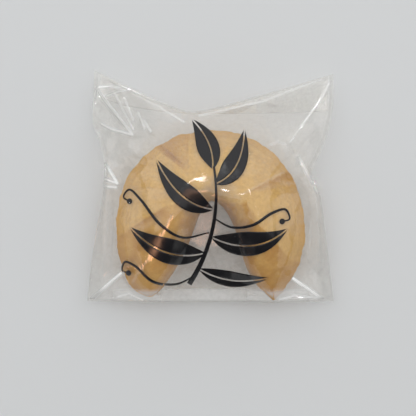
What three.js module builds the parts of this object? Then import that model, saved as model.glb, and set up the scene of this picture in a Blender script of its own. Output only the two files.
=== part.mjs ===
// A fortune cookie sealed in a small clear film bag, lying flat.
// The bag is one closed solid. Its outer form is the film: drawn from the flattened edges over
// the folded wafer inside, which is a round horseshoe with thick arms, and down to the table.
// Millimetres, +Z up, resting on z = 0. Origin: the middle of the bag's box, on the table.
import * as THREE from 'three';

// The outline, one list for each edge: x, y, and the height of the flattened edge there.
// The left and right edges pinch in beside the wafer, and the top edge is drawn down to it.
const TOP_EDGE = [
  [-40.7, 40.6, 5], [-27.7, 33.8, 8.5], [-15.9, 28.5, 11.5], [-6.8, 25.6, 12.5],
  [5.4, 28.0, 12], [16.2, 31.1, 10.5], [30.5, 35.4, 8], [43.1, 39.3, 6],
];
const BOTTOM_EDGE = [
  [-43.1, -40.2, 6], [-32, -40.3, 7], [-22, -40.5, 9.5], [-11, -40.5, 7], [0, -40.5, 6.5],
  [11, -40.5, 7], [22, -40.6, 10], [32, -40.4, 7.5], [43.1, -40.2, 6],
];
const LEFT_EDGE = [
  [-43.1, -40.2, 6], [-42.4, -33.3, 6.5], [-39.8, -16, 8.5], [-37.2, -2, 11], [-36.8, 7.5, 11.5],
  [-38.4, 15.5, 9.5], [-41, 22, 7.5], [-41, 30.5, 6], [-40.7, 40.6, 5],
];
const RIGHT_EDGE = [
  [43.1, -40.2, 6], [41.6, -28, 7], [39.8, -15, 9], [37.9, -3, 11], [34.8, 4.4, 12.5],
  [37.2, 9.6, 11.5], [40.8, 18.3, 9], [42.7, 27, 7], [43.1, 39.3, 6],
];
const EDGE_THICKNESS = 0.6;

// The wafer: a round outline with a V cut into it from below, thickest along a ridge that
// follows the V, thin at the outer rim. Its fold makes the two sides of the V, from top to tips
const WAFER_CENTRE = [0.5, -13];
const WAFER_RADIUS = 33;
const WAFER_MIDDLE = 13.5; // height of its outer rim
const V_TOP = [0, -5];
const LEFT_FOLD = [V_TOP, [-5.2, -13.8], [-10.4, -26.2], [-20, -38]];
const RIGHT_FOLD = [V_TOP, [7.5, -13.6], [12.2, -28], [21.8, -39.4]];
const RIDGE_FROM_FOLD = 9.5;
const RIDGE_RISE = 12.7; // ridge above and below the middle
const TOP_SHARE = 0.82; // of the ridge's rise, left at the top of the V
const TOP_REACH = 0.5; // share of each arm over which it grows to its whole rise
const TIP_SHARE = 0.2; // and what is left at the two tips
const RIM_RISE = 2.8;
const RIM_SLOPE = 3; // how steeply the film may fall away outside the rim and in the V

// Between the tips the bag is a flat lip of film on film. Above the lip the film is drawn down
// into the V, lowest along the middle of it
const LIP = { left: -17.5, right: 12.5, top: -36 };
const VALLEY_TOP = { y: -5, height: 24 };
const VALLEY_FOOT = { y: -36, height: 7 };
const VALLEY_BEND = 0.8; // below 1, its line is steeper at the foot
const VALLEY_SLOPE = 0.8; // how steeply it rises from the middle of the V to the arms

// The film
const AIR_ABOVE = 0.02; // how much the air inside lifts each point of the film above
const SAG_BELOW = 0.05; // and how much the film below sinks to the table
const SETTLING_STEPS = 2500;

// Folds: the film stands in a low ridge from each ear to the wafer, and dips at the pinches
const FOLDS = [
  { from: [-39, 38.5], to: [-19, 17], rise: 1.1, halfWidth: 5.5 },
  { from: [42, 38], to: [27, 15], rise: 1.4, halfWidth: 5.5 },
  { from: [-42, -39.5], to: [-29, -28], rise: 1.0, halfWidth: 4 },
  { from: [42, -39.5], to: [28, -31], rise: 1.0, halfWidth: 4 },
  { from: [-36, 6], to: [-25, 8], rise: -0.9, halfWidth: 4 },
  { from: [34.5, 4.4], to: [27, 3], rise: -1.1, halfWidth: 4 },
];

// Cells along each side of the surface's grid, above and below
const CELLS = 38;

const film = new THREE.MeshStandardMaterial({
  color: '#d9cfba', roughness: 0.12, metalness: 0, transparent: true, opacity: 0.6,
});

function edgeCurve(points) {
  const stations = points.map(([x, y, z]) => new THREE.Vector3(x, y, z));
  return new THREE.CatmullRomCurve3(stations, false, 'centripetal');
}

const edges = {
  top: edgeCurve(TOP_EDGE),
  bottom: edgeCurve(BOTTOM_EDGE),
  left: edgeCurve(LEFT_EDGE),
  right: edgeCurve(RIGHT_EDGE),
};

// The surface stretched between the four edges, at u along them and v up them
function stretched(u, v) {
  const point = new THREE.Vector3();
  point.addScaledVector(edges.bottom.getPointAt(u), 1 - v);
  point.addScaledVector(edges.top.getPointAt(u), v);
  point.addScaledVector(edges.left.getPointAt(v), 1 - u);
  point.addScaledVector(edges.right.getPointAt(v), u);
  point.addScaledVector(edges.bottom.getPointAt(0), -(1 - u) * (1 - v));
  point.addScaledVector(edges.bottom.getPointAt(1), -u * (1 - v));
  point.addScaledVector(edges.top.getPointAt(0), -(1 - u) * v);
  point.addScaledVector(edges.top.getPointAt(1), -u * v);
  return point;
}

const { clamp, lerp, smoothstep } = THREE.MathUtils;

// Where x, y lies on a line: its distance from it, its share along it, and its side
function beside(x, y, from, to) {
  const [dx, dy] = [to[0] - from[0], to[1] - from[1]];
  const length = Math.hypot(dx, dy);
  const along = clamp(((x - from[0]) * dx + (y - from[1]) * dy) / length ** 2, 0, 1);
  const distance = Math.hypot(x - from[0] - along * dx, y - from[1] - along * dy);
  const left = dx * (y - from[1]) - dy * (x - from[0]) > 0;
  return { along, distance, left };
}

// The same for a line of several straight pieces: the nearest piece counts
function besideLine(x, y, points) {
  const pieces = points.slice(1).map((to, k) => {
    const piece = beside(x, y, points[k], to);
    return { ...piece, along: (k + piece.along) / (points.length - 1) };
  });
  return pieces.reduce((nearest, piece) => (piece.distance < nearest.distance ? piece : nearest));
}

// How far the film at x, y must stay above and below the wafer's middle; negative where it is
// free to fall in past it
function waferRise(x, y) {
  const inward = WAFER_RADIUS - Math.hypot(x - WAFER_CENTRE[0], y - WAFER_CENTRE[1]);
  const leftArm = besideLine(x, y, LEFT_FOLD);
  const rightArm = besideLine(x, y, RIGHT_FOLD);
  const arm = leftArm.distance < rightArm.distance ? leftArm : rightArm;
  if (inward < 0) return RIM_RISE + RIM_SLOPE * inward;
  if (leftArm.left && !rightArm.left) return -RIM_SLOPE * arm.distance;
  const grown = lerp(TOP_SHARE, 1, smoothstep(arm.along, 0, TOP_REACH));
  const ridge = RIDGE_RISE * grown * lerp(1, TIP_SHARE, arm.along ** 5);
  const inner = clamp(arm.distance / RIDGE_FROM_FOLD, 0, 1);
  if (inner < 1) return ridge * Math.sqrt(inner * (2 - inner));
  const beyond = arm.distance - RIDGE_FROM_FOLD;
  return lerp(ridge, RIM_RISE, beyond / (beyond + inward));
}

const inLip = ({ x, y }) => x > LIP.left && x < LIP.right && y < LIP.top;

// The highest that the film above may stand at a place of the stretched surface
function highestAt(place) {
  if (inLip(place)) return place.z;
  const up = (place.y - VALLEY_FOOT.y) / (VALLEY_TOP.y - VALLEY_FOOT.y);
  if (up < 0 || up > 1) return Infinity;
  const middle = lerp(VALLEY_FOOT.height, VALLEY_TOP.height, up ** VALLEY_BEND);
  return middle + VALLEY_SLOPE * Math.abs(place.x - V_TOP[0]);
}

// The lowest that the film below may lie there: on the table, or against the lip
function lowestAt(place) {
  return inLip(place) ? place.z - EDGE_THICKNESS : EDGE_THICKNESS / 2;
}

// How far the folds lift the film at x, y
function foldRise(x, y) {
  return FOLDS.reduce((rise, fold) => {
    const { distance } = beside(x, y, fold.from, fold.to);
    return rise + fold.rise * smoothstep(1 - distance / fold.halfWidth, 0, 1);
  }, 0);
}

// The grid is a list of points, row by row
const row = CELLS + 1;
const onOutline = (k) => (k % row) % CELLS === 0 || Math.floor(k / row) % CELLS === 0;
const neighbourMean = (heights, k) => (
  (heights[k - 1] + heights[k + 1] + heights[k - row] + heights[k + row]) / 4
);

// Lets a sheet of film settle: each point moves to the middle of its neighbours, plus a push,
// and stays between what it may not sink below and what it may not rise above
function settle(heights, push, lowest, highest) {
  for (let step = 0; step < SETTLING_STEPS; step += 1) {
    for (let j = 1; j < CELLS; j += 1) {
      for (let i = 1; i < CELLS; i += 1) {
        const k = j * row + i;
        heights[k] = clamp(neighbourMean(heights, k) + push, lowest[k], highest[k]);
      }
    }
  }
}

// Rounds a settled sheet once, away from the outline
function rounded(heights) {
  return heights.map((height, k) => (
    onOutline(k) ? height : (height + neighbourMean(heights, k)) / 2
  ));
}

// The two sheets of film and the edge that joins them, as one closed surface
function bagGeometry() {
  const plan = [];
  for (let j = 0; j <= CELLS; j += 1) {
    for (let i = 0; i <= CELLS; i += 1) plan.push(stretched(i / CELLS, j / CELLS));
  }
  const rises = plan.map(({ x, y }) => waferRise(x, y));
  const waferTop = rises.map((rise) => WAFER_MIDDLE + rise);
  const waferFoot = rises.map((rise) => WAFER_MIDDLE - rise);
  const settledTop = plan.map(({ z }) => z);
  const bottom = plan.map(({ z }) => z);
  settle(settledTop, AIR_ABOVE, waferTop, plan.map(highestAt));
  settle(bottom, -SAG_BELOW, plan.map(lowestAt), waferFoot);
  const top = rounded(rounded(settledTop));

  const above = [];
  const below = [];
  plan.forEach(({ x, y }, k) => {
    const folded = onOutline(k) ? 0 : foldRise(x, y);
    const low = bottom[k] - EDGE_THICKNESS / 2;
    const high = top[k] + EDGE_THICKNESS / 2 + folded;
    above.push(x, y, Math.max(high, low + EDGE_THICKNESS));
    below.push(x, y, low);
  });

  const triangles = [];
  const sheet = row * row;
  for (let j = 0; j < CELLS; j += 1) {
    for (let i = 0; i < CELLS; i += 1) {
      const a = j * row + i;
      const b = a + 1;
      const c = b + row;
      const d = a + row;
      triangles.push(a, b, c, a, c, d);
      triangles.push(sheet + a, sheet + c, sheet + b, sheet + a, sheet + d, sheet + c);
    }
  }

  // The outline, walked anticlockwise seen from above
  const outline = [];
  for (let k = 0; k < CELLS; k += 1) outline.push(k);
  for (let k = 0; k < CELLS; k += 1) outline.push(k * row + CELLS);
  for (let k = CELLS; k > 0; k -= 1) outline.push(CELLS * row + k);
  for (let k = CELLS; k > 0; k -= 1) outline.push(k * row);
  outline.forEach((here, k) => {
    const next = outline[(k + 1) % outline.length];
    triangles.push(sheet + here, sheet + next, next, sheet + here, next, here);
  });

  const geometry = new THREE.BufferGeometry();
  geometry.setAttribute('position', new THREE.Float32BufferAttribute([...above, ...below], 3));
  geometry.setIndex(triangles);
  geometry.computeVertexNormals();
  return geometry;
}

const group = new THREE.Group();

const bag = new THREE.Mesh(bagGeometry(), film);
bag.name = 'bag';
group.add(bag);

export default group;
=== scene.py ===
import math

import bmesh
import bpy
import numpy as np
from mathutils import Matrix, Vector, noise
from mathutils.bvhtree import BVHTree
from mathutils.geometry import delaunay_2d_cdt


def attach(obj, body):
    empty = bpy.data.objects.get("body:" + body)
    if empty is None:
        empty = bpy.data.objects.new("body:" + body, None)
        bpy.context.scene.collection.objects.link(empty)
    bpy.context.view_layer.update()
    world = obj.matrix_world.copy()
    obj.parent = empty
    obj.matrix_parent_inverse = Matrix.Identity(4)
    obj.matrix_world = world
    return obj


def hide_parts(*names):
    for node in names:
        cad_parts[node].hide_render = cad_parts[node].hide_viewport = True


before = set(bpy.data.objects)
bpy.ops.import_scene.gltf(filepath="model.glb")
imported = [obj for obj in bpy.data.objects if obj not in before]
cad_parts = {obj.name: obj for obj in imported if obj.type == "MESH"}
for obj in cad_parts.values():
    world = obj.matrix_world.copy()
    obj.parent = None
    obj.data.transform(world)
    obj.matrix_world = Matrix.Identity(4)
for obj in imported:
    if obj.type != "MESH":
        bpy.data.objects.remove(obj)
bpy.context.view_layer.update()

# The camera stands straight above the bag, 43 cm up, and takes in the bare table round it, 144 mm
# from side to side. Sizes are in millimetres, if nothing else is said, and MM makes them metres.
MM = 0.001
CAMERA_ABOVE = (-0.85, -7.7)
CAMERA_HEIGHT = 432
VIEW_WIDTH = 143.6
FOCUS_HEIGHT = 12
SENSOR_WIDTH = 36
NEAREST_SEEN = 10

camera_data = bpy.data.cameras.new("camera")
camera_data.sensor_width = SENSOR_WIDTH
camera_data.lens = SENSOR_WIDTH * (CAMERA_HEIGHT - FOCUS_HEIGHT) / VIEW_WIDTH
camera_data.clip_start = NEAREST_SEEN * MM
camera = bpy.data.objects.new("camera", camera_data)
camera.location = (CAMERA_ABOVE[0] * MM, CAMERA_ABOVE[1] * MM, CAMERA_HEIGHT * MM)
bpy.context.scene.collection.objects.link(camera)
bpy.context.scene.camera = camera

# The cookie: one round crisp wafer of baked batter, folded in half while hot so that the fold
# stays round and hollow, then bent over a rim at the middle of the fold. The fold makes the V,
# and the two layers meet, a little apart, all round the outside.
WAFER_THICKNESS = 1.7
WAFER_MIDDLE = 13.3
# The rim and the fold, both from the left tip to the right tip
RIM = [
    (-21.9, -38.0), (-25.8, -35.7), (-28.2, -32.3), (-30.2, -25.9), (-31.4, -17.8), (-31.5, -10.4),
    (-29.7, -2.1), (-26.2, 5.3), (-20.2, 11.3), (-11.8, 16.1), (-3.1, 18.4), (4.7, 18.3),
    (11.9, 16.2), (19.4, 12.0), (26.3, 4.6), (30.7, -4.9), (32.5, -14.3), (32.0, -21.3),
    (29.6, -28.9), (25.3, -35.8), (22.3, -39.0),
]
FOLD = [
    (-19.8, -38.0), (-16.9, -35.6), (-13.6, -31.2), (-10.4, -26.2), (-7.5, -20.1), (-5.2, -13.8),
    (-2.7, -8.0), (0.4, -5.2), (4.0, -7.2), (7.9, -13.6), (10.2, -21.6), (12.6, -28.8),
    (16.2, -34.6), (21.4, -39.3),
]
# How far the ridge of each layer lies from the fold, and the most that this may take of a narrow
# place, and how the layer curves down from the ridge to the rim
RIDGE_FROM_FOLD, RIDGE_MOST = 9.5, 0.45
RIM_DROP_CURVE = 1.3
# The mesh: stations from tip to tip, steps from rim to rim over the fold, the share of a layer's
# steps that goes round the fold, and how closely the stations on the fold crowd at the knob
RIM_STATIONS = 280
STEPS_ACROSS = 110
FOLD_SHARE = 0.42
FOLD_POINTS = 2000
KNOB_CROWDING = 2.0
# Height of the ridge, and of the outer rim, from the tips (1) to the top of the cookie (0)
PLACES = (0.0, 0.15, 0.34, 0.55, 0.72, 0.86, 0.95, 1.0)
RIDGE_RISE = (9.6, 10.0, 11.6, 12.6, 12.0, 9.2, 5.4, 2.4)
RIM_RISE = (1.9, 2.0, 2.2, 2.5, 2.5, 2.2, 1.7, 1.2)
# Valleys of the upper layer, pressed in when the wafer was bent: from, to, half width, depth.
# They grow narrower and shallower on the way
CREASE_NARROWS, CREASE_FADES = 0.55, 1.6
WAFER_CREASES = [
    ((-16.9, 13.1), (-7.4, 5.0), 0.9, 1.3),
    ((-8.2, 17.4), (-8.6, 8.4), 1.6, 0.5),
    ((6.0, 17.0), (1.5, 6.5), 1.8, 0.35),
    ((14.5, 13.5), (6.8, 4.0), 2.0, 0.4),
    ((-25.7, -14.5), (-14.5, -9.6), 3.0, 0.6),
    ((29.5, -16.0), (18.0, -12.5), 3.0, 0.45),
]
# Pleats: wedges that dip from one edge to the other, where they step up again: the point, the
# first and the last edge at the rim, depth, and how much painted shade darkens the first and the
# last part
PLEATS = [
    ((10.4, -3.3), (26.8, 4.9), (29.4, 0.9), 1.0, 0.75, 0.15),
    ((-7.2, 3.6), (-16.4, 10.9), (-8.4, 18.0), 0.7, 0.7, 0.4),
]
# Shares of a pleat in which it starts, steps up and changes its painted shade, and how far from its
# point it is full in depth and in painted shade
PLEAT_STARTS, PLEAT_STEPS_UP, PLEAT_CHANGES = 0.06, 0.1, 0.6
PLEAT_FULL_DEPTH, PLEAT_FULL_SHADE = 12, 4
# The knob over the top of the V: place, radius and rise. Ribs fan out from it, over the top
KNOB = ((-3.0, -0.8), 3.6, 1.3)
RIBS_PER_RADIAN, RIB_LENGTH = 5.5, 14
RIBS_FROM_KNOB, RIBS_GROW = 3, 9
RIBS_ABOVE, RIBS_FADE = -12, 10
# Waves: size, height and a number that picks them. They are lower where a layer is narrow or near
# the middle. The rim lies a little inside its line, and further out but at the right tip
RIB_WAVES = [(1.0, 0.55, 5.0)]
RIM_WAVES = [(4.2, 0.5, 4.0), (1.5, 0.25, 6.0)]
FACE_WAVES = [(9.0, 0.55, 1.0), (3.2, 0.22, 2.0), (1.3, 0.07, 3.0)]
NARROW_WIDTH, NEAR_MIDDLE = 8, 3
RIM_INSIDE, RIM_SWELL, SWELL_ENDS, SWELL_FADES = 0.3, 0.85, 0.8, 0.45
# Painted shade, darker and browner, along the round fold and on the arms below a line
FOLD_SHADE, FOLD_SHADE_SHARE = 0.6, 0.24
ARM_SHADE = 0.75
SHADE_BORDER = 0.9
SHADED_BELOW = [
    (-32, -18), (-25.5, -13.5), (-14.5, -6.7), (12.1, -6), (18, -14.9), (27.2, -25.5), (32, -27),
]
# The batter's colours, and last the brown of the painted shade
CREAM, DARK_CREAM = (0.755, 0.475, 0.138), (0.68, 0.41, 0.102)
SPECKLE_TAN, GRAIN_BROWN = (0.56, 0.31, 0.07), (0.44, 0.24, 0.055)
RIM_BROWN, RING_BROWN, SHADE_BROWN = (0.57, 0.31, 0.05), (0.50, 0.26, 0.045), (0.47, 0.225, 0.03)
WORN_RIM = 0.45
WORN_ANGLE = 50


def smooth_line(points, count, steps=24):
    """Evenly spaced points on the smooth curve through the given ones."""
    stops = np.array(points, float)
    stops = np.vstack([2 * stops[0] - stops[1], stops, 2 * stops[-1] - stops[-2]])
    pieces = []
    for a, b, c, d in zip(stops, stops[1:], stops[2:], stops[3:]):
        knots = np.cumsum([0] + [math.sqrt(math.dist(p, q)) for p, q in ((a, b), (b, c), (c, d))])
        t = np.linspace(knots[1], knots[2], steps, endpoint=False)[:, None]

        def between(p, q, start, end):
            return ((end - t) * p + (t - start) * q) / (end - start)

        ab, bc, cd = between(a, b, *knots[:2]), between(b, c, *knots[1:3]), between(c, d, *knots[2:])
        abc, bcd = between(ab, bc, knots[0], knots[2]), between(bc, cd, knots[1], knots[3])
        pieces.append(between(abc, bcd, knots[1], knots[2]))
    line = np.vstack(pieces + [stops[-2:-1]])
    length = np.concatenate([[0], np.cumsum(np.linalg.norm(np.diff(line, axis=0), axis=1))])
    wanted = np.linspace(0, length[-1], count)
    return np.column_stack([np.interp(wanted, length, column) for column in line.T])


def eased(value):
    """0 below 0, 1 above 1, and no corner between."""
    share = np.clip(value, 0, 1)
    return share * share * (3 - 2 * share)


def graded(at, places, values):
    """The value at a place between stations, with no corner at any of them."""
    places, values = np.array(places), np.array(values)
    k = np.clip(np.searchsorted(places, at, side="right") - 1, 0, len(places) - 2)
    share = (at - places[k]) / (places[k + 1] - places[k])
    slopes = np.gradient(values, places)
    span = places[k + 1] - places[k]
    rest = 1 - share
    return (
        values[k] * (1 + 2 * share) * rest**2
        + values[k + 1] * (3 - 2 * share) * share**2
        + span * share * rest * (slopes[k] * rest - slopes[k + 1] * share)
    )


def from_line(x, y, start, end):
    """How far a place lies from a straight line, and its share along it."""
    across, up = end[0] - start[0], end[1] - start[1]
    along = np.clip(((x - start[0]) * across + (y - start[1]) * up) / (across**2 + up**2), 0, 1)
    return np.hypot(x - start[0] - along * across, y - start[1] - along * up), along


def waves(points, kinds):
    """Soft unevenness, the same each time: waves of the given sizes and heights."""
    total = 0
    for size, height, pick in kinds:
        start = Vector((pick, 2.7 * pick, -1.3 * pick))
        total = total + np.array([noise.noise(Vector(p) / size + start) for p in points]) * height
    return total


def laid_grid(places, **carried):
    """A grid moved to a table of places, rows up and columns across, that carries values."""
    rows, columns = places.shape[:2]
    bm = bmesh.new()
    bmesh.ops.create_grid(bm, x_segments=columns - 1, y_segments=rows - 1, size=1)
    for name in carried:
        bm.verts.layers.float.new(name)
    for vertex in bm.verts:
        column = round((vertex.co.x + 1) / 2 * (columns - 1))
        row = round((vertex.co.y + 1) / 2 * (rows - 1))
        vertex.co = Vector(places[row, column]) * MM
        for name, values in carried.items():
            vertex[bm.verts.layers.float[name]] = values[row, column]
    return bm


def finished(name, bm, material):
    """A smooth object of the bmesh, with its material."""
    mesh = bpy.data.meshes.new(name)
    bm.to_mesh(mesh)
    bm.free()
    mesh.polygons.foreach_set("use_smooth", [True] * len(mesh.polygons))
    mesh.materials.append(material)
    piece = bpy.data.objects.new(name, mesh)
    bpy.context.scene.collection.objects.link(piece)
    return piece


def wafer_places():
    """The outer face of the folded wafer, from rim to rim over the fold and from tip to tip, with
    how far each place lies from the rim and how much painted shade darkens it."""
    outer = smooth_line(RIM, RIM_STATIONS + 1)
    fold_line = smooth_line(FOLD, FOLD_POINTS + 1)
    from_top = np.linspace(-1, 1, RIM_STATIONS + 1)
    fold_at = 0.5 + 0.5 * np.sign(from_top) * np.abs(from_top) ** KNOB_CROWDING
    inner = fold_line[np.round(fold_at * FOLD_POINTS).astype(int)]
    reach = outer - inner
    width = np.linalg.norm(reach, axis=1)
    outward = reach / width[:, None]
    ragged = waves([(x, y, 0) for x, y in outer], RIM_WAVES)
    swell = RIM_SWELL * eased((SWELL_ENDS - from_top) / SWELL_FADES)
    width = width + (ragged - RIM_INSIDE + swell) * eased(width / NARROW_WIDTH)

    # Each layer turns up a quarter round from the fold to its ridge, then drops to the rim
    across = np.linspace(-1, 1, STEPS_ACROSS + 1)[:, None]
    upper = across < 0
    turned = np.abs(across)
    ridge_at = np.minimum(RIDGE_FROM_FOLD, RIDGE_MOST * width)
    ridge = graded(np.abs(from_top), PLACES, RIDGE_RISE)
    rim = graded(np.abs(from_top), PLACES, RIM_RISE)
    turn = np.clip(turned / FOLD_SHARE, 0, 1) * math.pi / 2
    beyond = np.clip((turned - FOLD_SHARE) / (1 - FOLD_SHARE), 0, 1)
    out = ridge_at * (1 - np.cos(turn)) + (width - ridge_at) * beyond
    rise = ridge * np.sin(turn) + (rim - ridge) * beyond**RIM_DROP_CURVE
    x = inner[:, 0] + outward[:, 0] * out
    y = inner[:, 1] + outward[:, 1] * out

    for start, end, half_width, depth in WAFER_CREASES:
        distance, along = from_line(x, y, start, end)
        spread = half_width * (1 - CREASE_NARROWS * along)
        fading = eased((1 - along) * CREASE_FADES)
        rise = rise - upper * depth * eased(1 - distance / spread) * fading
    # Painted shade: darker and browner along the round fold and on the arms below a line
    baked = FOLD_SHADE * eased(1.3 - turned / FOLD_SHADE_SHARE)
    below = np.interp(x, *zip(*SHADED_BELOW)) - y
    baked = baked + ARM_SHADE * eased(below / SHADE_BORDER + 0.5)

    # A pleat deepens from its first edge to its last, and steps up again there. Painted shade
    # darkens its tilted face, most in its first part
    for (point_x, point_y), first, last, depth, shade_first, shade_last in PLEATS:
        first_way = math.atan2(first[1] - point_y, first[0] - point_x)
        span = math.atan2(last[1] - point_y, last[0] - point_x) - first_way
        way = np.arctan2(y - point_y, x - point_x) - first_way - span / 2
        in_pleat = 0.5 + (np.mod(way + math.pi, 2 * math.pi) - math.pi) / span
        far = np.hypot(x - point_x, y - point_y)
        started = eased(in_pleat / PLEAT_STARTS + 0.5)
        inside = started * eased((1 + PLEAT_STEPS_UP - in_pleat) / PLEAT_STEPS_UP)
        deepening = np.clip(in_pleat, 0, 1) * inside * eased(far / PLEAT_FULL_DEPTH)
        rise = rise - upper * depth * deepening
        first_part = eased(1.4 - in_pleat / PLEAT_CHANGES)
        pleat_shade = shade_last + (shade_first - shade_last) * first_part
        baked = baked + upper * pleat_shade * inside * eased(far / PLEAT_FULL_SHADE)

    (knob_x, knob_y), knob_radius, knob_rise = KNOB
    from_knob = np.hypot(x - knob_x, y - knob_y)
    rise = rise + upper * knob_rise * eased(1 - from_knob / knob_radius)
    round_knob = np.arctan2(y - knob_y, x - knob_x)
    fan = np.stack([round_knob * RIBS_PER_RADIAN, from_knob / RIB_LENGTH, rise * 0], axis=-1)
    ribs = waves(fan.reshape(-1, 3), RIB_WAVES).reshape(rise.shape)
    grown = eased((from_knob - RIBS_FROM_KNOB) / RIBS_GROW)
    rise = rise + upper * ribs * grown * eased((y - RIBS_ABOVE) / RIBS_FADE)

    places = np.stack([x, y, WAFER_MIDDLE + np.where(upper, rise, -rise)], axis=-1)
    uneven = waves(places.reshape(-1, 3), FACE_WAVES).reshape(rise.shape)
    places[..., 2] += uneven * np.where(upper, 1, -1) * eased(rise / NEAR_MIDDLE)
    return places, np.broadcast_to(width - out, rise.shape), np.broadcast_to(baked, rise.shape)


def clouds(material, scale, detail, roughness=0.5):
    """A cloudy pattern on the piece's own coordinates, in clouds of about a metre over scale."""
    nodes, links = material.node_tree.nodes, material.node_tree.links
    node = nodes.new("ShaderNodeTexNoise")
    node.inputs["Scale"].default_value = scale
    node.inputs["Detail"].default_value = detail
    node.inputs["Roughness"].default_value = roughness
    links.new(nodes.new("ShaderNodeTexCoord").outputs["Object"], node.inputs["Vector"])
    return node.outputs["Fac"]


def carried_value(material, name):
    """A value that the vertices of the piece carry."""
    node = material.node_tree.nodes.new("ShaderNodeAttribute")
    node.attribute_name = name
    return node.outputs["Fac"]


def ranged(material, value, low, high, to_low, to_high, way="SMOOTHSTEP"):
    """A value taken from one range to another, and held at its ends."""
    node = material.node_tree.nodes.new("ShaderNodeMapRange")
    node.interpolation_type = way
    for socket, number in zip(node.inputs[1:5], (low, high, to_low, to_high)):
        socket.default_value = number
    material.node_tree.links.new(value, node.inputs[0])
    return node.outputs[0]


def maths(material, operation, *values):
    """A sum of values and numbers, worked out at each point of the surface."""
    node = material.node_tree.nodes.new("ShaderNodeMath")
    node.operation = operation
    for socket, value in zip(node.inputs, values):
        if isinstance(value, (int, float)):
            socket.default_value = value
        else:
            material.node_tree.links.new(value, socket)
    return node.outputs[0]


def blended(material, amount, below, above):
    """One colour over another, by an amount from 0 to 1."""
    node = material.node_tree.nodes.new("ShaderNodeMix")
    node.data_type = "RGBA"
    material.node_tree.links.new(amount, node.inputs[0])
    for socket, colour in ((node.inputs[6], below), (node.inputs[7], above)):
        if isinstance(colour, tuple):
            socket.default_value = (*colour, 1)
        else:
            material.node_tree.links.new(colour, socket)
    return node.outputs[2]


def bumpy(material, height, depth, strength):
    """Bumps of a depth in mm, and how strongly they show."""
    node = material.node_tree.nodes.new("ShaderNodeBump")
    node.inputs["Distance"].default_value = depth * MM
    node.inputs["Strength"].default_value = strength
    material.node_tree.links.new(height, node.inputs["Height"])
    return node


def wafer_material():
    """Baked batter: cream with tan mottling, browned along the rim, dry and faintly pitted, and
    darkened by painted shade where its vertices carry it.
    """
    material = bpy.data.materials.new("baked_wafer")
    material.use_nodes = True
    nodes, links = material.node_tree.nodes, material.node_tree.links
    shader = nodes["Principled BSDF"]
    from_rim = carried_value(material, "from_rim")

    patches = ranged(material, clouds(material, 130, 3, 0.55), 0.38, 0.66, 0, 1)
    speckle = ranged(material, clouds(material, 900, 4, 0.6), 0.42, 0.66, 0, 0.4)
    grain = ranged(material, clouds(material, 1700, 4, 0.7), 0.46, 0.66, 0, 0.4)
    colour = blended(material, patches, CREAM, DARK_CREAM)
    colour = blended(material, speckle, colour, SPECKLE_TAN)
    colour = blended(material, grain, colour, GRAIN_BROWN)

    # The rim is browned unevenly, and faint rings run along it
    ragged = maths(material, "MULTIPLY_ADD", clouds(material, 260, 3, 0.6), 4.0, from_rim)
    browned = ranged(material, ragged, 1.6, 6.2, 0.9, 0)
    colour = blended(material, browned, colour, RIM_BROWN)
    rings = nodes.new("ShaderNodeTexNoise")
    rings.noise_dimensions = "1D"
    rings.inputs["Scale"].default_value = 1.1
    rings.inputs["Detail"].default_value = 2
    links.new(ragged, rings.inputs["W"])
    ringed = ranged(material, rings.outputs["Fac"], 0.45, 0.65, 0, 0.6)
    near_rim = ranged(material, from_rim, 1.5, 8, 1, 0)
    colour = blended(material, maths(material, "MULTIPLY", ringed, near_rim), colour, RING_BROWN)

    # Painted shade, made uneven, darkens and browns where the vertices carry it
    uneven = ranged(material, clouds(material, 170, 4, 0.6), 0.3, 0.7, 0.5, 1.3)
    baked = maths(material, "MULTIPLY", uneven, carried_value(material, "baked"))
    links.new(blended(material, baked, colour, SHADE_BROWN), shader.inputs["Base Color"])
    shader.inputs["Roughness"].default_value = 0.6
    shader.inputs["Specular IOR Level"].default_value = 0.35

    pits = bumpy(material, clouds(material, 1500, 5, 0.62), 0.12, 0.6)
    lumps = bumpy(material, clouds(material, 420, 3, 0.5), 0.35, 0.7)
    links.new(pits.outputs["Normal"], lumps.inputs["Normal"])
    links.new(lumps.outputs["Normal"], shader.inputs["Normal"])
    return material


places, from_rim, baked = wafer_places()
bm = laid_grid(places, from_rim=from_rim, baked=baked)
bm.normal_update()
top_face = max(bm.faces, key=lambda face: face.calc_center_median().z)
if top_face.normal.z < 0:
    bmesh.ops.reverse_faces(bm, faces=bm.faces)
cookie = finished("folded_wafer", bm, wafer_material())
wall = cookie.modifiers.new("wall", "SOLIDIFY")
wall.thickness = WAFER_THICKNESS * MM
wall.offset = -1
worn = cookie.modifiers.new("worn_rim", "BEVEL")
worn.width = WORN_RIM * MM
worn.segments = 3
worn.limit_method = "ANGLE"
worn.angle_limit = math.radians(WORN_ANGLE)
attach(cookie, "root")
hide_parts("bag")

# The bag: one tube of thin clear film, folded at the bottom and closed at the top, filled with
# the cookie and a little air. The film is drawn tight from its flattened edges over the wafer,
# and stands in creases where it has to gather, most of all in the four ears.
FILM_CELLS = 216
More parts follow.
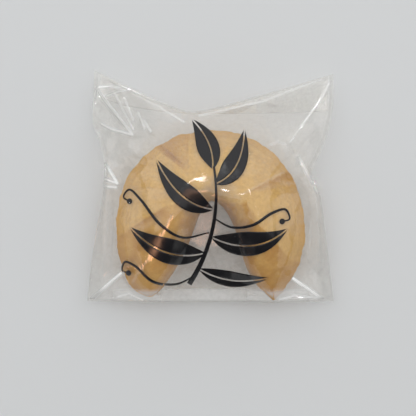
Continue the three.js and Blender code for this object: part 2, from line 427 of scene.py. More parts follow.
# Its four flattened edges, each place with its height: left to right, and bottom to top
TOP_EDGE = [
    (-40.7, 40.6, 5), (-27.7, 33.8, 8.5), (-15.9, 28.5, 11.5), (-6.8, 25.6, 12.5),
    (5.4, 28.0, 12), (16.2, 31.1, 10.5), (30.5, 35.4, 8), (43.1, 39.3, 6),
]
BOTTOM_EDGE = [
    (-43.1, -40.2, 6), (-32, -40.3, 7), (-22, -40.5, 9.5), (-11, -40.5, 7), (0, -40.5, 6.5),
    (11, -40.5, 7), (22, -40.6, 10), (32, -40.4, 7.5), (43.1, -40.2, 6),
]
LEFT_EDGE = [
    (-43.1, -40.2, 6), (-42.4, -33.3, 6.5), (-39.8, -16, 8.5), (-37.2, -2, 11), (-36.8, 7.5, 11.5),
    (-38.4, 15.5, 9.5), (-41, 22, 7.5), (-41, 30.5, 6), (-40.7, 40.6, 5),
]
RIGHT_EDGE = [
    (43.1, -40.2, 6), (41.6, -28, 7), (39.8, -15, 9), (37.9, -3, 11), (34.8, 4.4, 12.5),
    (37.2, 9.6, 11.5), (40.8, 18.3, 9), (42.7, 27, 7), (43.1, 39.3, 6),
]
EDGE_POINTS = 120
# How far the film lies off the wafer above and below, and from itself, and how much the upper
# film is drawn up by the air in it and the lower one sags
FILM_OFF_WAFER, FILM_UNDER_WAFER, FILMS_APART = 0.25, 0.1, 0.05
AIR_CURVE = 0.014
SAG_CURVE = 0.04
NO_LIMIT = 100
# The film settles from coarse cells to fine: their size, and the steps it takes at each. It lies
# over bumps of the wafer as wide as three cells
SETTLING = {8: 900, 4: 900, 2: 900, 1: 350}
BUMP_CELLS, BRIDGING_STEPS = 3, 70
# Wide folds of the upper film: from, to, rise, half width
FOLDS = [
    ((-39, 38.5), (-19, 17), 1.1, 5.5),
    ((42, 38), (27, 15), 1.4, 5.5),
    ((-42, -39.5), (-29, -28), 1.0, 4),
    ((42, -39.5), (28, -31), 1.0, 4),
    ((-36, 6), (-25, 8), -0.9, 4),
    ((34.5, 4.4), (27, 3), -1.1, 4),
]
# Sharp folds of the upper film: the places that each runs through, how far it stands above the
# film at its two ends, and how strongly it is marked with white haze, partly a painted highlight.
# In order: the left upper ear, the left side, the top edge, the right upper ear and side, the lower
# corners, the wafer's tips, and two faint ones over the wafer.
CREASES = [
    ([(-40.4, 31.0), (-40.2, 33.4), (-39.2, 34.4), (-34.3, 34.8), (-27.9, 33.9)], 0.8, 0.6, 0.9),
    ([(-27.9, 33.9), (-31.5, 32.9), (-36.2, 31.2)], 0.6, 0.6, 0.8),
    ([(-39.0, 33.2), (-37.6, 30.8), (-26.8, 17.4)], 0.9, 0.9, 1),
    ([(-37.8, 21.5), (-34.3, 19.5), (-26.8, 17.4)], 0.9, 0.9, 1),
    ([(-33.3, 32.2), (-26.6, 19.5)], 0.5, 0.5, 0.4),
    ([(-29.8, 30.3), (-26.6, 22.6)], 0.4, 0.4, 0.3),
    ([(-24.9, 25.1), (-22.5, 19.5)], 0.5, 0.5, 0.35),
    ([(-22.8, 22.3), (-20.4, 18.4)], 0.5, 0.5, 0.4),
    ([(-27.0, 32.2), (-18.3, 27.5), (-9.2, 21.9)], 0.5, 0.4, 0.35),
    ([(-36.2, 7.3), (-31.9, 0.7)], 0.6, 0.7, 1.5),
    ([(-36.8, 2.4), (-31.9, 0.7)], 0.6, 0.7, 1.2),
    ([(-36.8, -0.2), (-32.4, -0.6)], 0.6, 0.7, 1.1),
    ([(-35.2, -6.0), (-36.0, -20.0), (-38.6, -33.0)], 0.4, 0.4, 0.15),
    ([(-33.2, -14.0), (-34.4, -28.0)], 0.4, 0.4, 0.1),
    ([(-3.9, 24.2), (4.0, 25.9), (18.0, 29.3), (38.5, 37.3)], 0.4, 0.6, 0.35),
    ([(41.9, 36.4), (38.4, 30.2), (31.0, 20.0)], 0.9, 0.8, 0.5),
    ([(31.0, 20.0), (27.0, 14.4)], 0.8, 0.5, 0.2),
    ([(20.4, 13.9), (23.2, 14.8), (26.0, 13.9), (29.1, 10.2), (32.3, 6.1)], 0.4, 0.5, 0.2),
    ([(30.2, 9.7), (37.0, -2.5)], 0.4, 0.6, 0.7),
    ([(36.8, -5.0), (38.0, -18.0), (38.6, -30.0)], 0.4, 0.4, 0.12),
    ([(34.4, -14.0), (33.6, -26.0)], 0.3, 0.3, 0.1),
    ([(-41.4, -39.2), (-30.6, -30.0)], 0.8, 0.8, 1.7),
    ([(-32.2, -38.5), (-28.0, -37.3)], 0.5, 0.7, 1.2),
    ([(-28.0, -37.3), (-23.5, -39.6)], 0.7, 0.3, 1.1),
    ([(28.2, -31.7), (38.8, -39.2)], 0.7, 0.6, 1.7),
    ([(38.8, -39.2), (29.3, -38.0), (23.9, -39.4)], 0.5, 0.4, 1.4),
    ([(-20.0, -37.6), (-2.0, -38.2), (17.0, -37.9)], 0.2, 0.2, 0.3),
    ([(10.6, -3.1), (25, 4.6)], 0.2, 0.2, 0.1),
    ([(-13.0, -10.2), (-18.6, -21.2), (-26.5, -33.0)], 0.2, 0.2, 0.12),
]
# How wide the white haze along a sharp fold is
CREASE_WIDTH = 0.42
# Folds end softly, on the wafer within so many cells and at the edge within so many millimetres
FOLD_ENDS, EDGE_CALM = 8, 3
# The film is crumpled along the bottom edge, and its white haze there is also painted light that
# lightens the shaded bottom
CRUMPLED_BELOW, CRUMPLE_FADES, CRUMPLE_AND_LIGHT_MARK = -34.8, 2, 0.4
CRUMPLE_HALF_WIDTH, CRUMPLE_ENDS = 38, 8
# The flat lip round the edges, and between the tips: left, right and top
LIP, LIP_SLACK = 0.8, 0.1
BOTTOM_LIP = (-17.5, 12.5, -36.0)
# Above the lip the upper film is drawn down into the V: y and height of the top and the foot of
# its lowest line, how that line bends, and how steeply the film rises from it to either side
VALLEY_TOP, VALLEY_FOOT = (-5, 24), (-36, 7)
VALLEY_BEND, VALLEY_SLOPE, VALLEY_ROUND = 0.8, 0.8, 2.5
# The film also hangs on the wafer's rim and on its edges, at so many places and each so many cells
RIM_HANGS, EDGE_HANG_STEP = 46, 8
# Small dents between the folds: tries, the field they lie in, lowest and highest, and how far
# they keep from each other, from a fold and from the edge
DENT_TRIES = 900
DENT_FIELD = ((-41, 41), (-39, 38))
DENT_RISE = (-0.4, 0.2)
DENTS_APART, DENT_FROM_FOLD, DENT_FROM_EDGE = 2.8, 1.5, 2
DENT_PICK = 11
FILM_RIPPLES = [(11.0, 0.25, 7.0), (4.5, 0.1, 8.0)]
# The two films meet within this at the edges, and a fold sharper than this shows as an edge
FILMS_MEET, SHARP_FOLD = 0.001, 60
# How grey the film is along its edges and along its side folds, which widen downwards, and how
# much painted shade greys it over the left upper ear
EDGE_GREY, EDGE_WIDTH = 0.6, 0.8
SIDE_GREY, SIDE_WIDTH, SIDE_WIDENS, WIDENS_BELOW, WIDENS_OVER = 0.6, 1.8, 4.5, -6, 30
EAR_SHADE, EAR_FROM, EAR_FADES = 0.5, (-12, 12), (14, 10)
# Film this close over the wafer is pressed on it, and clearer: at the knob, and over a wider
# gap at the lower arms, which makes them darker as painted shade
CLINGS_WITHIN, ARMS_SHADE_GAP, ARMS_BELOW, ARMS_OVER = 0.6, 1.7, -12, 12
PRESSED_CLEARER = 0.65
# How much the film mirrors straight on, at a slant and on a sharp fold, and its roughness
MIRRORS, SLANT_MIRRORS, SLANT_POWER, FOLD_MIRRORS = 0.07, 0.9, 4.0, 0.35
FILM_ROUGHNESS, FOLD_ROUGHNESS, HAZE_ROUGHNESS = 0.07, 0.12, 0.6
# How much it hazes by its smudges, its scuffs, its grey seals with the painted shade over one ear,
# and its sharp folds, where the white haze is partly a painted highlight
SMUDGE_HAZE, LESS_HAZE, SCUFF_HAZE, SEAL_AND_SHADE_HAZE, FOLD_HAZE_AND_HIGHLIGHT = 0.08, -0.01, 0.16, 0.16, 0.75
FILM_CLEAR, FILM_GLOSS = (0.995, 0.99, 0.98), (0.95, 0.95, 0.95)
# The haze's white, and the grey of the seals and of the painted shade
HAZE_WHITE, SEAL_AND_SHADE_GREY = (0.962, 0.958, 0.945), (0.40, 0.40, 0.38)


def coons(edges, count):
    """The sheet stretched between four edges: rows up, columns across."""
    bottom, top, left, right = (smooth_line(edge, count) for edge in edges)
    u = np.linspace(0, 1, count)[None, :, None]
    v = np.linspace(0, 1, count)[:, None, None]
    below, above = (1 - u) * bottom[0] + u * bottom[-1], (1 - u) * top[0] + u * top[-1]
    up_and_down = (1 - v) * bottom[None] + v * top[None]
    straight = (1 - v) * below + v * above
    return up_and_down + (1 - u) * left[:, None] + u * right[:, None] - straight


def amid(heights):
    """The middle of the four neighbours of each inner point."""
    return (heights[:-2, 1:-1] + heights[2:, 1:-1] + heights[1:-1, :-2] + heights[1:-1, 2:]) / 4


def settled(sheet, lowest, highest, curve):
    """A film settled from coarse to fine, between what is below it and what is above: each point
    moves to the middle of its neighbours, plus a push."""
    cell = 2 * abs(LEFT_EDGE[0][0]) / FILM_CELLS
    heights = None
    for stride, steps in SETTLING.items():
        part = sheet[::stride, ::stride, 2].copy()
        if heights is not None:
            rows = np.repeat(heights, 2, axis=0)[:-1]
            rows[1:-1:2] = (heights[:-1] + heights[1:]) / 2
            finer = np.repeat(rows, 2, axis=1)[:, :-1]
            finer[:, 1:-1:2] = (rows[:, :-1] + rows[:, 1:]) / 2
            part[1:-1, 1:-1] = finer[1:-1, 1:-1]
        push = curve * (cell * stride) ** 2 / 4
        low, high = lowest[::stride, ::stride][1:-1, 1:-1], highest[::stride, ::stride][1:-1, 1:-1]
        for _ in range(steps):
            part[1:-1, 1:-1] = np.clip(amid(part) + push, low, high)
        heights = part
    return heights


CLEAR_OF_BAG = 100


def surface_of(piece):
    """The finished surface of a piece, to measure heights on."""
    solid = bmesh.new()
    shaped = piece.evaluated_get(bpy.context.evaluated_depsgraph_get())
    solid.from_mesh(shaped.to_mesh())
    shaped.to_mesh_clear()
    surface = BVHTree.FromBMesh(solid)
    solid.free()
    return surface


def height_on(surface, x, y, from_above):
    """How high a surface lies at a place, seen from above or below, or None beside it."""
    away = 1 if from_above else -1
    start = Vector((x * MM, y * MM, away * CLEAR_OF_BAG * MM))
    met = surface.ray_cast(start, Vector((0, 0, -away)))[0]
    return None if met is None else met.z / MM


def over_and_under(surface, sheet):
    """The highest and lowest of a surface at each place of a sheet, or nothing there."""
    high = np.full(sheet.shape[:2], -np.inf)
    low = -high
    for row, column in np.ndindex(high.shape):
        x, y = sheet[row, column, :2]
        above = height_on(surface, x, y, True)
        if above is not None:
            high[row, column] = above
            low[row, column] = height_on(surface, x, y, False)
    return high, low


def layered(material, amount, below, above):
    """One finish over another, by an amount from 0 to 1."""
    node = material.node_tree.nodes.new("ShaderNodeMixShader")
    for socket, value in zip(node.inputs, (amount, below.outputs[0], above.outputs[0])):
        material.node_tree.links.new(value, socket)
    return node


def film_material():
    """Clear glossy film: it mirrors a little, more at a slant, and hazes the light faintly. Grey
    painted shade lies over one ear, and the white haze on its folds is partly a painted highlight.
    """
    material = bpy.data.materials.new("clear_film")
    material.use_nodes = True
    nodes, links = material.node_tree.nodes, material.node_tree.links
    crease = carried_value(material, "crease")
    seam = carried_value(material, "seam")
    pressed = carried_value(material, "pressed")
    shadow = nodes.new("ShaderNodeLightPath").outputs["Is Shadow Ray"]
    but_shadow = maths(material, "SUBTRACT", 1.0, shadow)

    clear = nodes.new("ShaderNodeBsdfTransparent")
    clear.inputs["Color"].default_value = (*FILM_CLEAR, 1)
    gloss = nodes["Principled BSDF"]
    gloss.inputs["Base Color"].default_value = (*FILM_GLOSS, 1)
    gloss.inputs["Metallic"].default_value = 1
    rougher = maths(material, "MULTIPLY_ADD", crease, FOLD_ROUGHNESS, FILM_ROUGHNESS)
    links.new(rougher, gloss.inputs["Roughness"])
    slant = nodes.new("ShaderNodeLayerWeight")
    slanted = maths(material, "POWER", slant.outputs["Facing"], SLANT_POWER)
    mirrored = maths(material, "MULTIPLY_ADD", slanted, SLANT_MIRRORS, MIRRORS)
    mirrored = maths(material, "MULTIPLY_ADD", crease, FOLD_MIRRORS, mirrored)
    mirrored = maths(material, "MULTIPLY", mirrored, but_shadow)

    haze = nodes.new("ShaderNodeBsdfPrincipled")
    haze.inputs["Roughness"].default_value = HAZE_ROUGHNESS
    # The seals, and the painted shade over the left upper ear, grey the haze
    links.new(blended(material, seam, HAZE_WHITE, SEAL_AND_SHADE_GREY), haze.inputs["Base Color"])
    hazy = maths(material, "MULTIPLY_ADD", clouds(material, 60, 3), SMUDGE_HAZE, LESS_HAZE)
    hazy = maths(material, "MULTIPLY_ADD", clouds(material, 800, 3), SCUFF_HAZE, hazy)
    # Pressed film is clearer; over the lower arms this is painted shade that darkens them
    clearer = maths(material, "MULTIPLY", pressed, PRESSED_CLEARER)
    hazy = maths(material, "MULTIPLY", hazy, maths(material, "SUBTRACT", 1.0, clearer))
    hazy = maths(material, "MULTIPLY_ADD", seam, SEAL_AND_SHADE_HAZE, hazy)
    # White haze on the sharp folds is partly a painted highlight, and on the bottom band painted
    # light
    hazy = maths(material, "MULTIPLY_ADD", crease, FOLD_HAZE_AND_HIGHLIGHT, hazy)
    hazy = maths(material, "MULTIPLY", hazy, but_shadow)
    whole = layered(material, hazy, layered(material, mirrored, clear, gloss), haze)
    links.new(whole.outputs[0], nodes["Material Output"].inputs["Surface"])
    return material


def flat_between(sheet, heights, creases, more):
    """The film drawn flat from fold to fold, over the folds and some more places it hangs on."""
    flat, level = sheet[..., :2].reshape(-1, 2), heights.reshape(-1)

    def level_at(stop):
        return level[np.argmin(np.hypot(*(flat - stop).T))]

    stops, tops, folds = [], [], []
    for line, first_rise, last_rise, _ in creases:
        length = np.cumsum([0] + [math.dist(a, b) for a, b in zip(line, line[1:])])
        ends = level_at(line[0]) + first_rise, level_at(line[-1]) + last_rise
        folds += [(len(stops) + k, len(stops) + k + 1) for k in range(len(line) - 1)]
        stops += [Vector(stop) for stop in line]
        tops += list(np.interp(length, (0, length[-1]), ends))
    for *spot, rise in more:
        stops.append(Vector(spot))
        tops.append(level_at(spot) + rise)
    corners, _, faces, sources, _, _ = delaunay_2d_cdt(stops, folds, [], 0, 0.05)
    corners = np.array([tuple(corner) for corner in corners])
    tops = np.array([
        max(tops[k] for k in source) if source else level_at(corner) + 0.5
        for corner, source in zip(corners, sources)
    ])
    drawn = level.copy()
    for face in faces:
        (a_x, a_y), (b_x, b_y), (c_x, c_y) = corners[face]
        area = (b_x - a_x) * (c_y - a_y) - (c_x - a_x) * (b_y - a_y)
        near = np.nonzero(
            (flat[:, 0] >= min(a_x, b_x, c_x)) & (flat[:, 0] <= max(a_x, b_x, c_x))
            & (flat[:, 1] >= min(a_y, b_y, c_y)) & (flat[:, 1] <= max(a_y, b_y, c_y))
        )[0]
        if abs(area) < 1e-9 or not len(near):
            continue
        from_a = flat[near] - (a_x, a_y)
        share_b = (from_a[:, 0] * (c_y - a_y) - from_a[:, 1] * (c_x - a_x)) / area
        share_c = (from_a[:, 1] * (b_x - a_x) - from_a[:, 0] * (b_y - a_y)) / area
        within = (share_b >= -1e-6) & (share_c >= -1e-6) & (share_b + share_c <= 1 + 1e-6)
        top_a, top_b, top_c = tops[face]
        drawn[near[within]] = (
            top_a + share_b * (top_b - top_a) + share_c * (top_c - top_a)
        )[within]
    return drawn.reshape(heights.shape)


def softened(heights, times):
    """Rounds every fold of a sheet a little."""
    for _ in range(times):
        heights[1:-1, 1:-1] = (heights[1:-1, 1:-1] + amid(heights)) / 2
    return heights


def bridged(heights):
    """The smooth level at which film lies over small bumps."""
    raised = np.where(np.isfinite(heights), heights, 0)
    for _ in range(BUMP_CELLS):
        raised[1:-1, 1:-1] = np.maximum.reduce([
            raised[1:-1, 1:-1], raised[:-2, 1:-1], raised[2:, 1:-1], raised[1:-1, :-2],
            raised[1:-1, 2:],
        ])
    return np.where(np.isfinite(heights), softened(raised, BRIDGING_STEPS), -np.inf)


def joined_to(bm, part):
    """Moves a part into a larger bmesh."""
    mesh = bpy.data.meshes.new("part")
    part.to_mesh(mesh)
    part.free()
    bm.from_mesh(mesh)
    bpy.data.meshes.remove(mesh)


sheet = coons((BOTTOM_EDGE, TOP_EDGE, LEFT_EDGE, RIGHT_EDGE), FILM_CELLS + 1)
x, y, edge_height = sheet[..., 0], sheet[..., 1], sheet[..., 2]
wafer_high, wafer_low = over_and_under(surface_of(cookie), sheet)
over_wafer = np.isfinite(wafer_high)
from_edges = []
for edge in (BOTTOM_EDGE, TOP_EDGE, LEFT_EDGE, RIGHT_EDGE):
    line = smooth_line(edge, EDGE_POINTS)[:, :2]
    from_edges.append(np.minimum.reduce([
        from_line(x, y, start, end)[0] for start, end in zip(line, line[1:])
    ]))
from_edge = np.minimum.reduce(from_edges)

# Both films settle between the wafer, the table, the lip and the line drawn down into the V
in_lip = (from_edge < LIP) | ((x > BOTTOM_LIP[0]) & (x < BOTTOM_LIP[1]) & (y < BOTTOM_LIP[2]))
on_wafer = np.maximum(bridged(wafer_high) + FILM_OFF_WAFER, 0)
under_wafer = np.minimum(wafer_low - FILM_UNDER_WAFER, NO_LIMIT)
up = (y - VALLEY_FOOT[0]) / (VALLEY_TOP[0] - VALLEY_FOOT[0])
valley = VALLEY_FOOT[1] + (VALLEY_TOP[1] - VALLEY_FOOT[1]) * np.clip(up, 0, 1) ** VALLEY_BEND
valley += VALLEY_SLOPE * (np.hypot(x, VALLEY_ROUND) - VALLEY_ROUND)
highest = np.where((up < 0) | (up > 1), NO_LIMIT, valley)
highest = np.maximum(np.where(in_lip, edge_height + LIP_SLACK, highest), on_wafer)
lowest = np.minimum(np.where(in_lip, edge_height - LIP_SLACK, 0), under_wafer)
upper = settled(sheet, on_wafer, highest, AIR_CURVE)
lower = settled(sheet, np.maximum(lowest, 0), under_wafer, -SAG_CURVE)

# The upper film gathers in wide and sharp folds, with dents between them
for start, end, rise, half_width in FOLDS:
    distance, along = from_line(x, y, start, end)
    upper += rise * eased(1 - distance / half_width) * eased(from_edge / EDGE_CALM)
hangs = []
for row, column in np.ndindex(x.shape):
    on_row = row in (0, FILM_CELLS) and column % EDGE_HANG_STEP == 0
    on_column = column in (0, FILM_CELLS) and row % EDGE_HANG_STEP == 0
    if on_row or on_column:
        hangs.append((x[row, column], y[row, column], 0.0))
hangs += [(*spot, 0.0) for spot in smooth_line(RIM, RIM_HANGS)]
on_crease = np.zeros(x.shape)
from_crease = np.full(x.shape, float(NO_LIMIT))
# The sharp folds are marked for white haze, which is partly a painted highlight
for line, _, _, strength in CREASES:
    for start, end in zip(line, line[1:]):
        distance = from_line(x, y, start, end)[0]
        from_crease = np.minimum(from_crease, distance)
        on_crease = np.maximum(on_crease, strength * np.exp(-((distance / CREASE_WIDTH) ** 2)))
# Painted light: white haze along the crumpled bottom edge lightens it
crumpled_and_lit = eased((CRUMPLED_BELOW - y) / CRUMPLE_FADES)
crumpled_and_lit = crumpled_and_lit * eased((CRUMPLE_HALF_WIDTH - np.abs(x)) / CRUMPLE_ENDS)
on_crease = np.maximum(on_crease, CRUMPLE_AND_LIGHT_MARK * crumpled_and_lit)
chance = np.random.default_rng(DENT_PICK)
for _ in range(DENT_TRIES):
    spot = np.array([chance.uniform(*DENT_FIELD[0]), chance.uniform(*DENT_FIELD[1])])
    rise = chance.uniform(*DENT_RISE)
    nearest = np.argmin(np.hypot(x - spot[0], y - spot[1]))
    off_wafer = not over_wafer.flat[nearest] and from_edge.flat[nearest] > DENT_FROM_EDGE
    apart = min(math.dist(spot, hang[:2]) for hang in hangs) > DENTS_APART
    if off_wafer and apart and from_crease.flat[nearest] > DENT_FROM_FOLD:
        hangs.append((*spot, rise))
drawn = flat_between(sheet, upper, CREASES, hangs)
upper = upper + (drawn - upper) * softened(np.where(over_wafer, 0.0, 1.0), FOLD_ENDS)
plan = np.stack([x, y, np.zeros(x.shape)], axis=-1).reshape(-1, 3)
ripple = waves(plan, FILM_RIPPLES).reshape(x.shape)
upper = softened(upper + ripple * eased(from_edge / EDGE_CALM), 1)
upper = np.minimum(upper, np.where(in_lip, highest, NO_LIMIT))
upper = np.maximum(np.maximum(upper, wafer_high + FILMS_APART), lower + FILMS_APART)
upper[0], upper[-1] = edge_height[0], edge_height[-1]
upper[:, 0], upper[:, -1] = edge_height[:, 0], edge_height[:, -1]

side_width = SIDE_WIDTH + SIDE_WIDENS * eased((WIDENS_BELOW - y) / WIDENS_OVER)
creased_side = np.minimum(*from_edges[2:]) / side_width
seam = np.maximum(
    EDGE_GREY * eased(1.4 - from_edge / EDGE_WIDTH), SIDE_GREY * eased((1 - creased_side) * 2.5)
)
# Painted shade: the film over the left upper ear is greyed like a seal
left_part = eased((EAR_FROM[0] - x) / EAR_FADES[0])
seam = np.maximum(seam, EAR_SHADE * left_part * eased((y - EAR_FROM[1]) / EAR_FADES[1]))
# Painted shade: over the lower arms the film counts as pressed across a wider gap
clearing_gap = CLINGS_WITHIN + ARMS_SHADE_GAP * eased((ARMS_BELOW - y) / ARMS_OVER)
pressed = np.where(over_wafer, eased(1.6 - (upper - wafer_high) / clearing_gap), 0)

bm = bmesh.new()
for name in ("seam", "crease", "pressed"):
    bm.verts.layers.float.new(name)
unmarked = np.zeros(x.shape)
side = laid_grid(np.stack([x, y, upper], axis=-1), seam=seam, crease=on_crease, pressed=pressed)
joined_to(bm, side)
side = laid_grid(np.stack([x, y, lower], axis=-1), seam=seam, crease=unmarked, pressed=unmarked)
bmesh.ops.reverse_faces(side, faces=side.faces)
joined_to(bm, side)
bmesh.ops.remove_doubles(bm, verts=bm.verts, dist=FILMS_MEET * MM)
for edge in bm.edges:
    edge.smooth = edge.calc_face_angle(0) < math.radians(SHARP_FOLD)
film = finished("clear_bag", bm, film_material())
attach(film, "root")
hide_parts("bag")

# The flap: the back film runs on past the opening and is folded down behind the bag, where its
# free edge crosses both upper ears. It is the same film. Its edge is grey, on one stretch broadly.
FLAP_LEFT, FLAP_RIGHT = -38.5, 41.0
FLAP_EDGE = [(-38.5, 31.0), (-29.8, 28.0), (-18.0, 26.0), (-6.0, 24.6), (16.0, 25.4), (41.0, 26.2)]
FLAP_CELLS = (160, 24)
FLAP_BEHIND = 0.15
FLAP_THICKNESS = 0.04
BELOW_OPENING, SHORTEST_FLAP = 0.25, 0.5
BROAD_EDGE = (-30.3, -3.0)
TOP_POINTS = 400

film_surface = surface_of(film)
top_line = smooth_line(TOP_EDGE, TOP_POINTS)
columns, rows = FLAP_CELLS
flap_places = np.zeros((rows + 1, columns + 1, 3))
flap_seam = np.zeros((rows + 1, columns + 1))
for column in range(columns + 1):
    flap_x = FLAP_LEFT + (FLAP_RIGHT - FLAP_LEFT) * column / columns
    opening = np.interp(flap_x, top_line[:, 0], top_line[:, 1]) - BELOW_OPENING
    free_edge = min(np.interp(flap_x, *zip(*FLAP_EDGE)), opening - SHORTEST_FLAP)
    grey_rows = 2 if BROAD_EDGE[0] < flap_x < BROAD_EDGE[1] else 1
    flap_seam[:grey_rows, column] = 1
    for row in range(rows + 1):
        flap_y = free_edge + (opening - free_edge) * row / rows
        height = height_on(film_surface, flap_x, flap_y, False) - FLAP_BEHIND
        flap_places[row, column] = (flap_x, flap_y, height)
flap_mesh = laid_grid(flap_places, seam=flap_seam)
flap = finished("folded_flap", flap_mesh, film.data.materials[0])
flap_wall = flap.modifiers.new("wall", "SOLIDIFY")
flap_wall.thickness = FLAP_THICKNESS * MM
flap_wall.offset = -1
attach(flap, "root")
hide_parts("bag")

# The print: one layer of glossy black ink on the outer face of the film. It shows a leaning
# sprig of solid leaves with bare midribs, and three thin tendrils.
PRINT_CENTRE = (-0.9, -5.6)
INK_ABOVE, INK_THICKNESS = 0.05, 0.03
INK_CELL, INK_MEETS = 0.45, 0.002
INK_BLACK, INK_THINNER = (0.003, 0.003, 0.004), (0.010, 0.009, 0.011)
# Points along a leaf or the stem, along a tendril and round half a dot
LEAF_POINTS, TENDRIL_POINTS, DOT_POINTS = 60, 90, 21
# The width of a leaf's bare midrib, how the leaf is rounded, and how wide its half on the full
# side of its bow is beside the other half
MIDRIB = 0.5
LEAF_LEANS, LEAF_ROUND = 0.85, 0.9
FULL_SIDE = 0.72
# Leaves: from, by way of, to, half width
LEAVES = [
    ((1.6, 11), (2.5, 20), (-5.5, 28.5), 4.4),
    ((2.4, 6.0), (12.0, 9.5), (12.5, 25), 4.4),
    ((1.8, -2.5), (-10, -1.5), (-17.5, 14.5), 4.7),
    ((1.2, -12), (15, -19), (27, -9), 4.8),
    ((-1.0, -17.5), (-14, -21), (-26.5, -8.5), 5.0),
    ((-3.2, -23), (8, -30), (20.5, -25.5), 3.3),
]
STEM = ((-6.5, -28.5), (5.5, -10), (2, 12))
STEM_FOOT, STEM_TIP = 0.9, 0.35
# Tendrils, from the stem to a dot: half width, its share at the ends and what the middle adds,
# and the dot's radius
TENDRIL_WIDTH, TENDRIL_ENDS, TENDRIL_SWELLS = 0.42, 0.55, 0.6
DOT = 1.0
TENDRILS = [
    [(1.9, -5.5), (8, -8.6), (15, -7.8), (21.5, -3.8), (26.2, -2.6), (27.6, -5.8), (25.0, -6.6)],
    [(0.4, -10.5), (-8.5, -12), (-16, -7.5), (-22.5, 0.5), (-26.8, 4.2), (-28.8, 1.6), (-26.6, 0.2)],
    [(-4.6, -25.5), (-11, -28.4), (-18.5, -27.0), (-24.5, -21.8), (-28.2, -20.4), (-29.2, -23.4),
     (-27.0, -24.2)],
]


def left_of(points):
    """The directions to the left of a line of points."""
    run = np.gradient(points, axis=0)
    run /= np.linalg.norm(run, axis=1)[:, None]
    return np.column_stack([-run[:, 1], run[:, 0]])


def bowed(start, way, end, count):
    """Points on a bow from start to end, and the directions to its left."""
    t = np.linspace(0, 1, count)[:, None]
    start, way, end = np.array((start, way, end), float)
    points = (1 - t) ** 2 * start + 2 * t * (1 - t) * way + t**2 * end
    return points, left_of(points)


def inked(bm, first, second):
    """Lays a strip of ink on the film between two lines of points."""
    length = np.linalg.norm(np.diff(first, axis=0), axis=1).sum()
    width = np.linalg.norm(second - first, axis=1).max()
    columns = max(4, round(length / INK_CELL))
    rows = max(1, round(width / INK_CELL))
    at = np.linspace(0, len(first) - 1, columns + 1)
    near = np.column_stack([np.interp(at, range(len(first)), line) for line in first.T])
    far = np.column_stack([np.interp(at, range(len(second)), line) for line in second.T])
    places = np.zeros((rows + 1, columns + 1, 3))
    for row in range(rows + 1):
        plan = near + (far - near) * row / rows + np.array(PRINT_CENTRE)
        for column, (ink_x, ink_y) in enumerate(plan):
            height = height_on(film_surface, ink_x, ink_y, True) + INK_ABOVE
            places[row, column] = (ink_x, ink_y, height)
    strip = laid_grid(places)
    bmesh.ops.remove_doubles(strip, verts=strip.verts, dist=INK_MEETS * MM)
    strip.normal_update()
    if sum(face.normal.z for face in strip.faces) < 0:
        bmesh.ops.reverse_faces(strip, faces=strip.faces)
    joined_to(bm, strip)


def ink_leaf(bm, start, way, end, half_width):
    """One leaf, on either side of a bare bowed midrib. Its half on the hollow side is wider."""
    points, left = bowed(start, way, end, LEAF_POINTS)
    t = np.linspace(0, 1, LEAF_POINTS)
    width = (half_width * np.sin(math.pi * t**LEAF_LEANS) ** LEAF_ROUND)[:, None]
    bare = np.minimum(MIDRIB / 2, width)
    (way_x, way_y), (end_x, end_y) = np.subtract(way, start), np.subtract(end, start)
    left_is_full = way_x * end_y < way_y * end_x
    for side, is_full in ((left, left_is_full), (-left, not left_is_full)):
        edge = np.maximum(width, bare) * (FULL_SIDE if is_full else 1)
        inked(bm, points + side * bare, points + side * edge)


def ink_tendril(bm, stops):
    """A thin tendril that swells a little at the middle and ends in a dot."""
    points = smooth_line(stops, TENDRIL_POINTS)
    left = left_of(points)
    swelling = np.sin(np.linspace(0, math.pi, TENDRIL_POINTS))
    width = (TENDRIL_WIDTH * (TENDRIL_ENDS + TENDRIL_SWELLS * swelling))[:, None]
    inked(bm, points - left * width, points + left * width)
    turn = np.linspace(0, math.pi, DOT_POINTS)
    half_round = np.column_stack([np.cos(turn), np.sin(turn)]) * DOT
    inked(bm, points[-1] + half_round * (1, -1), points[-1] + half_round)


def ink_material():
    """Glossy black ink, faintly uneven where it was laid thinner."""
    material = bpy.data.materials.new("black_ink")
    material.use_nodes = True
    links = material.node_tree.links
    shader = material.node_tree.nodes["Principled BSDF"]
    laid = clouds(material, 350, 4)
    links.new(blended(material, laid, INK_BLACK, INK_THINNER), shader.inputs["Base Color"])
    links.new(ranged(material, laid, 0.3, 0.7, 0.16, 0.28, "LINEAR"), shader.inputs["Roughness"])
    return material


bm = bmesh.new()
for leaf in LEAVES:
    ink_leaf(bm, *leaf)
for stops in TENDRILS:
    ink_tendril(bm, stops)
points, left = bowed(*STEM, LEAF_POINTS)
taper = np.linspace(STEM_FOOT, STEM_TIP, LEAF_POINTS)[:, None]
inked(bm, points - left * taper, points + left * taper)
print_layer = finished("sprig_print", bm, ink_material())
layer = print_layer.modifiers.new("layer", "SOLIDIFY")
layer.thickness = INK_THICKNESS * MM
layer.offset = -1
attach(print_layer, "root")
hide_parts("bag")

# The table: one plain matt board, pale and slightly cool, that runs on past the edge of the view.
# It lies a hair under the bag, which rests on it.
TABLE_HALF = 1500
TABLE_BELOW = 0.05
TABLE_PALE = (0.72, 0.73, 0.735)

bm = bmesh.new()
bmesh.ops.create_grid(bm, x_segments=1, y_segments=1, size=TABLE_HALF * MM)
bmesh.ops.translate(bm, vec=(0, 0, -TABLE_BELOW * MM), verts=bm.verts)
table_material = bpy.data.materials.new("pale_table")
table_material.use_nodes = True
table_shader = table_material.node_tree.nodes["Principled BSDF"]
table_shader.inputs["Base Color"].default_value = (*TABLE_PALE, 1)
table_shader.inputs["Roughness"].default_value = 0.8
table = finished("table", bm, table_material)

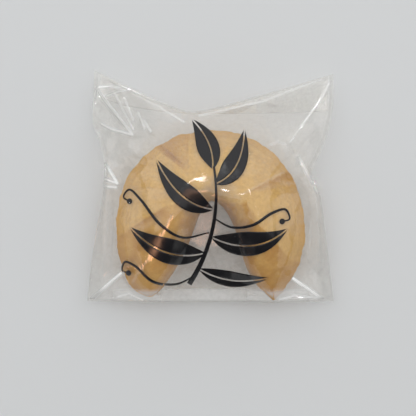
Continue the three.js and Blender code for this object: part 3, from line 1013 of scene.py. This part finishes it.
# Soft studio light: a tall panel beyond the top edge that reaches overhead, weaker ones on either
# side, and a wide one overhead and one in front that are kept out of the film's reflections.
# Small lamps that show only in a gloss put the glints on the film's folds.
LAMPS_AIM_HEIGHT = 15
WINDOW_WHITE, WALL_WHITE, FILL_WHITE = (0.98, 0.99, 1), (1, 0.98, 0.95), (1, 0.995, 0.98)
GLINT_WHITE, GLINT_WARM = (1, 1, 1), (1, 0.5, 0.28)
# Panels, with distance and size in metres: name, bearing, height, distance, size, radiance, colour
PANELS = [
    ("window", 0, 54, 0.9, (2.05, 1.5), 0.9, WINDOW_WHITE),
    ("left_wall", -88, 14, 1.6, (1.8, 0.7), 0.72, WALL_WHITE),
    ("right_wall", 92, 18, 1.6, (1.8, 0.8), 0.68, WALL_WHITE),
]
FILLS = [
    ("overhead", 180, 90, 1.6, (2.8, 1.4), 0.72, FILL_WHITE),
    ("front", 180, 24, 1.6, (2.8, 1.4), 0.54, FILL_WHITE),
]
# Narrow beams on the sharp folds of the ears and sides, then on those of the two lower corners,
# by their radiance: bearing, height, aim, reach
BEAM_DISTANCE = 1.3
BEAMS = {
    50000: [
        (-36, 50, (-33, 32), 12), (-6, 22, (-32, 32), 9), (-84, 22, (-32, 24), 13),
        (-57, 34, (-31, 19), 9), (-42, 34, (-23, 21), 4), (-86, 14, (-33, 2), 8),
        (-90, 10, (-34, 0), 7), (38, 42, (37, 30), 10), (38, 42, (30, 18), 10),
        (96, 46, (33, 3), 10),
    ],
    90000: [
        (132, 10, (34, -36), 7), (168, 6, (31, -38), 7), (-138, 14, (-37, -36), 6),
        (-108, 10, (-37, -36), 6),
    ],
}
# Small panels for the sparkles on the knob: bearing, height, distance, size, aim, reach
SPARKLE_RADIANCE = 28
SPARKLES = [
    (20, 61, 0.3, (0.014, 0.06), (-4, 1.7), 35),
    (-30, 78, 0.3, (0.016, 0.016), (4.5, -1.5), 13),
    (-72, 70, 0.1, (0.006, 0.008), (9.5, -1.2), 5),
]
# A row of small warm panels for the streak along the left arm: bearing, height, aim, reach
STREAK_RADIANCE, STREAK_DISTANCE, STREAK_SIZE = 10, 0.1, (0.03, 0.03)
STREAK = [
    (95, 76, (-12, -10.5), 9), (160, 83, (-14, -13.5), 15), (-160, 77, (-15.6, -16), 15),
    (-145, 67, (-17, -18.6), 15), (-126, 66, (-18.8, -21.5), 15), (-119, 56, (-20.7, -24), 15),
    (-118, 40, (-21.2, -25.8), 7), (-117, 24, (-22.2, -27.4), 7), (-116, 12, (-23, -28.9), 7),
]
ROOM_AIR, ROOM_STRENGTH = (0.95, 0.97, 1), 0.14


def lamp(name, bearing, height, distance, size, radiance, colour, aim=(0, 0), reach=None):
    """A panel aimed at a place on the bag, from a bearing off +Y and a height in degrees. Its beam
    is held to a reach in mm round that place, or left wide."""
    bearing, height = math.radians(bearing), math.radians(height)
    place = Vector((
        math.sin(bearing) * math.cos(height),
        math.cos(bearing) * math.cos(height),
        math.sin(height),
    )) * distance
    data = bpy.data.lights.new(name, "AREA")
    data.shape = "RECTANGLE"
    data.size, data.size_y = size
    data.energy = radiance * math.pi * size[0] * size[1]
    if reach is not None:
        half_spread = math.atan(reach * MM / distance)
        data.spread = 2 * half_spread
        data.energy *= 1 - half_spread / math.tan(half_spread)
    data.color = colour
    light = bpy.data.objects.new(name, data)
    light.location = place + Vector((*aim, LAMPS_AIM_HEIGHT)) * MM
    light.rotation_euler = (-place).to_track_quat("-Z", "Y").to_euler()
    light.visible_camera = False
    bpy.context.scene.collection.objects.link(light)
    return light


for panel in PANELS:
    lamp(*panel)
for fill in FILLS:
    lamp(*fill).visible_glossy = False
for radiance, beams in BEAMS.items():
    for bearing, height, aim, reach in beams:
        stand = ("glint", bearing, height, BEAM_DISTANCE, (reach * MM, reach * MM))
        lamp(*stand, radiance, GLINT_WHITE, aim, reach).visible_diffuse = False
for bearing, height, distance, size, aim, reach in SPARKLES:
    stand = ("glint", bearing, height, distance, size)
    lamp(*stand, SPARKLE_RADIANCE, GLINT_WHITE, aim, reach).visible_diffuse = False
for bearing, height, aim, reach in STREAK:
    stand = ("warm_glint", bearing, height, STREAK_DISTANCE, STREAK_SIZE)
    lamp(*stand, STREAK_RADIANCE, GLINT_WARM, aim, reach).visible_diffuse = False
room = bpy.data.worlds.new("room")
room.use_nodes = True
air = room.node_tree.nodes["Background"]
air.inputs["Color"].default_value = (*ROOM_AIR, 1)
air.inputs["Strength"].default_value = ROOM_STRENGTH
bpy.context.scene.world = room
bpy.context.scene.view_settings.view_transform = "Standard"
